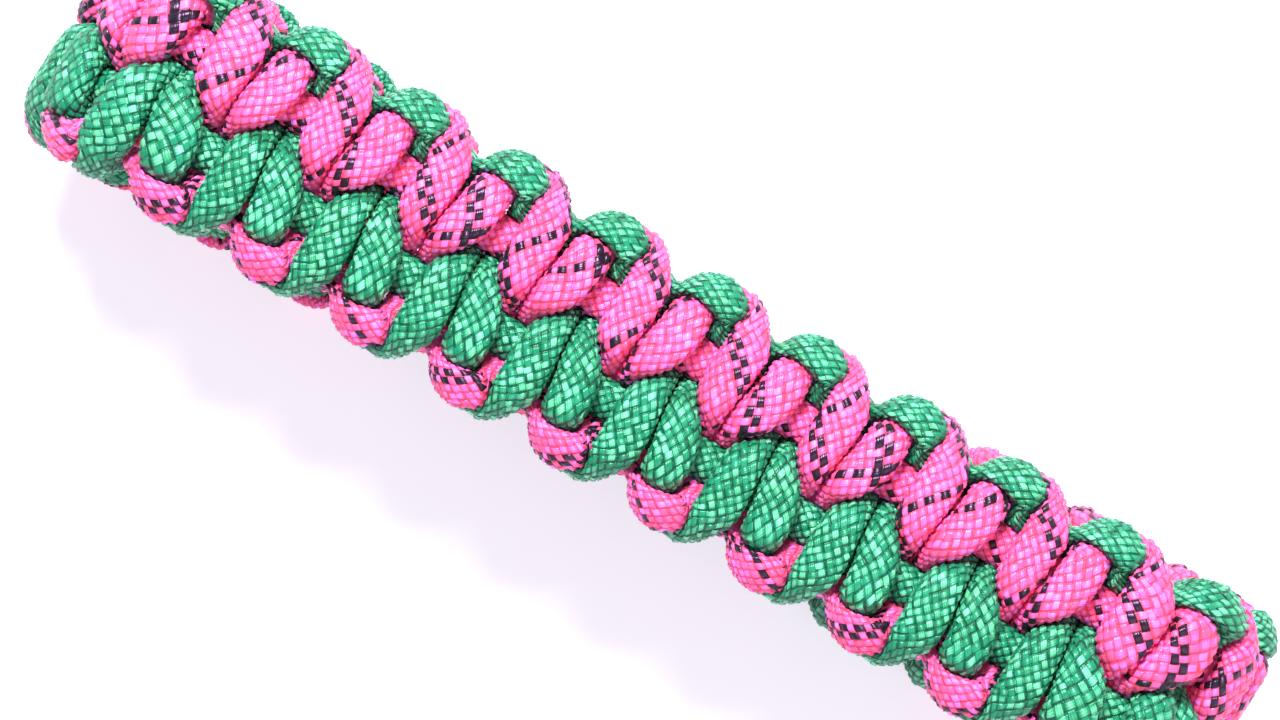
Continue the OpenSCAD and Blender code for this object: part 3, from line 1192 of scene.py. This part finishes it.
@dataclass
class KnottedCord(Cord):
    """A working cord: one knot's stretch of it, repeated along the band."""

    across: Across
    stations: int = 260
    fine: int = 16

    def route(self) -> tuple[np.ndarray, np.ndarray]:
        """Draws the cord's middle over one knot, in even steps.

        Returns:
            The points with the free half width as a fourth column, and the length at each row of
            the table and at the knot's end.
        """
        band = self.band
        scale = np.array([band.pitch, band.half_width, band.half_thickness, 1.0])
        repeat = np.array([*band.repeat, 0.0])
        curve = smooth_line(np.array(KNOT_ROUTE) * scale, repeat, self.fine)
        closed = np.vstack([curve, curve[:1] + repeat])
        return even_steps(closed, self.stations + 1)[:-1], lengths_along(closed)[:: self.fine]

    def flat(self) -> tuple[BraidMesh, dict[str, float]]:
        """Braids one knot's stretch of the cord.

        Returns:
            The braid, and how often it repeats and where the cord starts and ends.
        """
        band = self.band
        line, at_row = self.route()
        length = float(at_row[-1])
        rows = self.sheath.rows_in(length)
        log.info("%s: %.1f mm of cord a knot, %d rows", self.name, length, rows)
        rings = StrandRoom(band, line[:, :3], line[:, 3]).rings()
        if self.across is Across.MIRRORED:
            rings = band.mirrored(rings)[:, ::-1]
        braid = BraidedTube(rings, self.sheath, rows, band.repeat).braid()
        start = at_row[FIRST_ROW] / length
        end = at_row[LAST_ROW] / length
        return braid, {
            "Repeats": band.knots + 2,
            "First Place": (band.first_place - band.pitch) * MM,
            "Pitch": band.pitch * MM,
            "Rows": rows,
            "From Row": round(start * rows),
            "To Row": round((band.knots + 1 + end) * rows),
        }


@dataclass
class CoreStrand(Cord):
    """A straight core strand that turns round a clasp bar at each end."""

    side: int
    bend_from: float = 5.4
    wrap_to: float = -148.0
    straight_to_bend: float = 0.6
    press_before_bend: float = 1.0
    press_over: float = 3.4
    pressed_across: float = 2.25
    pressed_high: float = 1.2
    straight_points: int = 200
    wrap_points: int = 60
    stations: int = 900

    def half_line(self) -> np.ndarray:
        """Draws the strand's middle from the top's middle to its end round a bar.

        Returns:
            Rows of place along, height, half width across and half height.
        """
        radius = self.band.eye_mid_radius
        bar = self.band.bar_place
        free = self.band.core_radius
        lean = math.asin(radius / self.bend_from)
        angles = np.radians(np.linspace(90 + math.degrees(lean), self.wrap_to, self.wrap_points))
        round_bar = np.stack([bar + radius * np.cos(angles), radius * np.sin(angles)], axis=1)
        along = np.linspace(0, bar - self.bend_from - self.straight_to_bend, self.straight_points)
        path = np.vstack([np.stack([along, np.zeros(len(along))], axis=1), round_bar])
        path = even_steps(np.column_stack([path, np.zeros(len(path))]), self.stations)[:, :2]
        press_from = bar - self.bend_from - self.press_before_bend
        near = np.clip((path[:, 0] - press_from) / self.press_over, 0, 1)
        pressed = np.maximum.accumulate(near * near * (3 - 2 * near))
        across = free + (self.pressed_across - free) * pressed
        high = free + (self.pressed_high - free) * pressed
        return np.column_stack([path, across, high])

    def flat(self) -> tuple[BraidMesh, dict[str, float]]:
        """Braids the whole strand, with its eyes.

        Returns:
            The braid, and inputs that lay it once and cut nothing off.
        """
        half = self.half_line()
        whole = np.vstack([half[:0:-1] * np.array([-1, 1, 1, 1]), half])
        beside = np.full(len(whole), self.side * self.band.core_place)
        line = np.column_stack([whole[:, 0], beside, whole[:, 1]])
        length = float(lengths_along(line)[-1])
        rows = self.sheath.rows_in(length)
        log.info("%s: %.1f mm long, %d rows", self.name, length, rows)
        across = np.array([0.0, 1.0, 0.0])
        up = np.cross(unit(np.gradient(line, axis=0)), across)
        rings = line[:, None, :] + across * np.cos(AROUND) * whole[:, 2, None, None]
        rings = rings + up[:, None, :] * np.sin(AROUND) * whole[:, 3, None, None]
        braid = BraidedTube(rings, self.sheath, rows).braid()
        run = {"Repeats": 1, "First Place": 0.0, "Pitch": 0.0, "Rows": rows}
        return braid, run | {"From Row": -rows, "To Row": 2 * rows}


@dataclass
class ClaspDress:
    """The clasp keeps its exact solid, with the plastic's finish."""

    node: str
    finish: MouldedPlastic

    def dress(self) -> bpy.types.Object:
        """Puts the finish on the clasp.

        Returns:
            The clasp's own object.
        """
        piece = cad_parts[self.node]
        piece.data.materials.clear()
        piece.data.materials.append(self.finish.material())
        return piece


@dataclass(frozen=True)
class SoftLight:
    """A square light that faces the bracelet: its place and side in metres, its power in watts."""

    name: str
    place: tuple[float, float, float]
    side: float
    power: float

    def hang(self) -> None:
        """Hangs the light in the studio."""
        lamp = bpy.data.lights.new(self.name, "AREA")
        lamp.size = self.side
        lamp.energy = self.power
        hung = bpy.data.objects.new(self.name, lamp)
        hung.location = self.place
        hung.rotation_euler = (-hung.location).to_track_quat("-Z", "Y").to_euler()
        bpy.context.scene.collection.objects.link(hung)


@dataclass
class Studio:
    """A pale floor, soft lights and a camera that looks straight down on the band."""

    photo_width_px: int = 1280
    px_per_mm: float = 11.08
    band_slope: float = 31.8
    aim: tuple[float, float] = (-1.6, 0.9)
    face_height: float = 33.0
    distance: float = 560.0
    sensor: float = 36.0
    floor_reach: float = 1.5
    floor_colour: Colour = (0.6, 0.58, 0.64)
    floor_roughness: float = 0.7
    floor_glow: Colour = (0.95, 0.92, 1.0)
    floor_glow_strength: float = 0.52
    sky_colour: Colour = (0.93, 0.93, 1.0)
    sky_strength: float = 0.42
    lights: tuple[SoftLight, ...] = (
        SoftLight("key", (-0.3, 0.42, 0.78), 0.22, 19.0),
        SoftLight("fill", (0.5, -0.3, 0.75), 0.9, 5.0),
    )

    def floor(self) -> None:
        """Lays the floor that the bracelet lies on."""
        mesh = bpy.data.meshes.new("floor")
        half = self.floor_reach
        corners = [(-half, -half, 0), (half, -half, 0), (half, half, 0), (-half, half, 0)]
        mesh.from_pydata(corners, [], [(0, 1, 2, 3)])
        ground = bpy.data.objects.new("floor", mesh)
        bpy.context.scene.collection.objects.link(ground)
        made, sheet, shader = new_material("floor")
        sheet.fill(shader, {
            "Base Color": (*self.floor_colour, 1),
            "Roughness": self.floor_roughness,
            "Emission Color": (*self.floor_glow, 1),
            "Emission Strength": self.floor_glow_strength,
        })
        mesh.materials.append(made)

    def sky(self) -> None:
        """Sets the even light that comes from all round."""
        world = bpy.data.worlds.new("studio")
        world.use_nodes = True
        shade = {"Color": (*self.sky_colour, 1), "Strength": self.sky_strength}
        NodeSheet(world.node_tree).fill(world.node_tree.nodes["Background"], shade)
        bpy.context.scene.world = world

    def camera(self) -> None:
        """Places the camera so that a millimetre of the band's face has its size in the photo."""
        lens = bpy.data.cameras.new("camera")
        lens.sensor_width = self.sensor
        lens.lens = self.sensor * self.distance / (self.photo_width_px / self.px_per_mm)
        lens.clip_start = 0.01
        held = bpy.data.objects.new("camera", lens)
        held.location = (self.aim[0] * MM, self.aim[1] * MM, (self.face_height + self.distance) * MM)
        held.rotation_euler = (0.0, 0.0, math.radians(self.band_slope))
        bpy.context.scene.collection.objects.link(held)
        bpy.context.scene.camera = held

    def build(self) -> None:
        """Sets up the whole studio."""
        self.floor()
        for light in self.lights:
            light.hang()
        self.sky()
        self.camera()
        bpy.context.scene.view_settings.view_transform = "Standard"


PINK = CordFinish(
    name="pink_cord",
    crest_highlight=(1.0, 0.22, 0.92),
    body=(1.0, 0.1, 0.32),
    crease_shade=(1.0, 0.06, 0.15),
    glint=(1.0, 0.55, 1.0),
    bounce_tint=(1.0, 0.8, 0.66),
    tracer=(0.005, 0.005, 0.009),
    glow=0.05,
)
GREEN = CordFinish(
    name="green_cord",
    crest_highlight=(0.18, 0.7, 0.41),
    body=(0.008, 0.225, 0.115),
    crease_shade=(0.0, 0.065, 0.036),
    glint=(0.5, 1.0, 0.75),
    bounce_tint=(0.7, 0.78, 0.68),
)


def main() -> None:
    """Builds every piece in order and reports it."""
    logging.basicConfig(level=logging.INFO, format="%(message)s")
    band = Band()
    sheath = Sheath()
    tree = loop_tree()
    strands = (
        KnottedCord("pink_cord_braid", band, sheath, PINK, Across.AS_DRAWN),
        KnottedCord("green_cord_braid", band, sheath, GREEN, Across.MIRRORED),
        CoreStrand("pink_core_braid", band, sheath, PINK, 1),
        CoreStrand("green_core_braid", band, sheath, GREEN, -1),
    )
    for strand in strands:
        piece = strand.build(tree)
        node = strand.name.removesuffix("_braid")
        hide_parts(node)
        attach(piece, "root")
        log.info("%s: %d triangles", piece.name, len(piece.data.polygons))
    clasp = ClaspDress("clasp", MouldedPlastic()).dress()
    log.info("%s dressed", clasp.name)
    Studio().build()


if __name__ == "__main__":
    main()
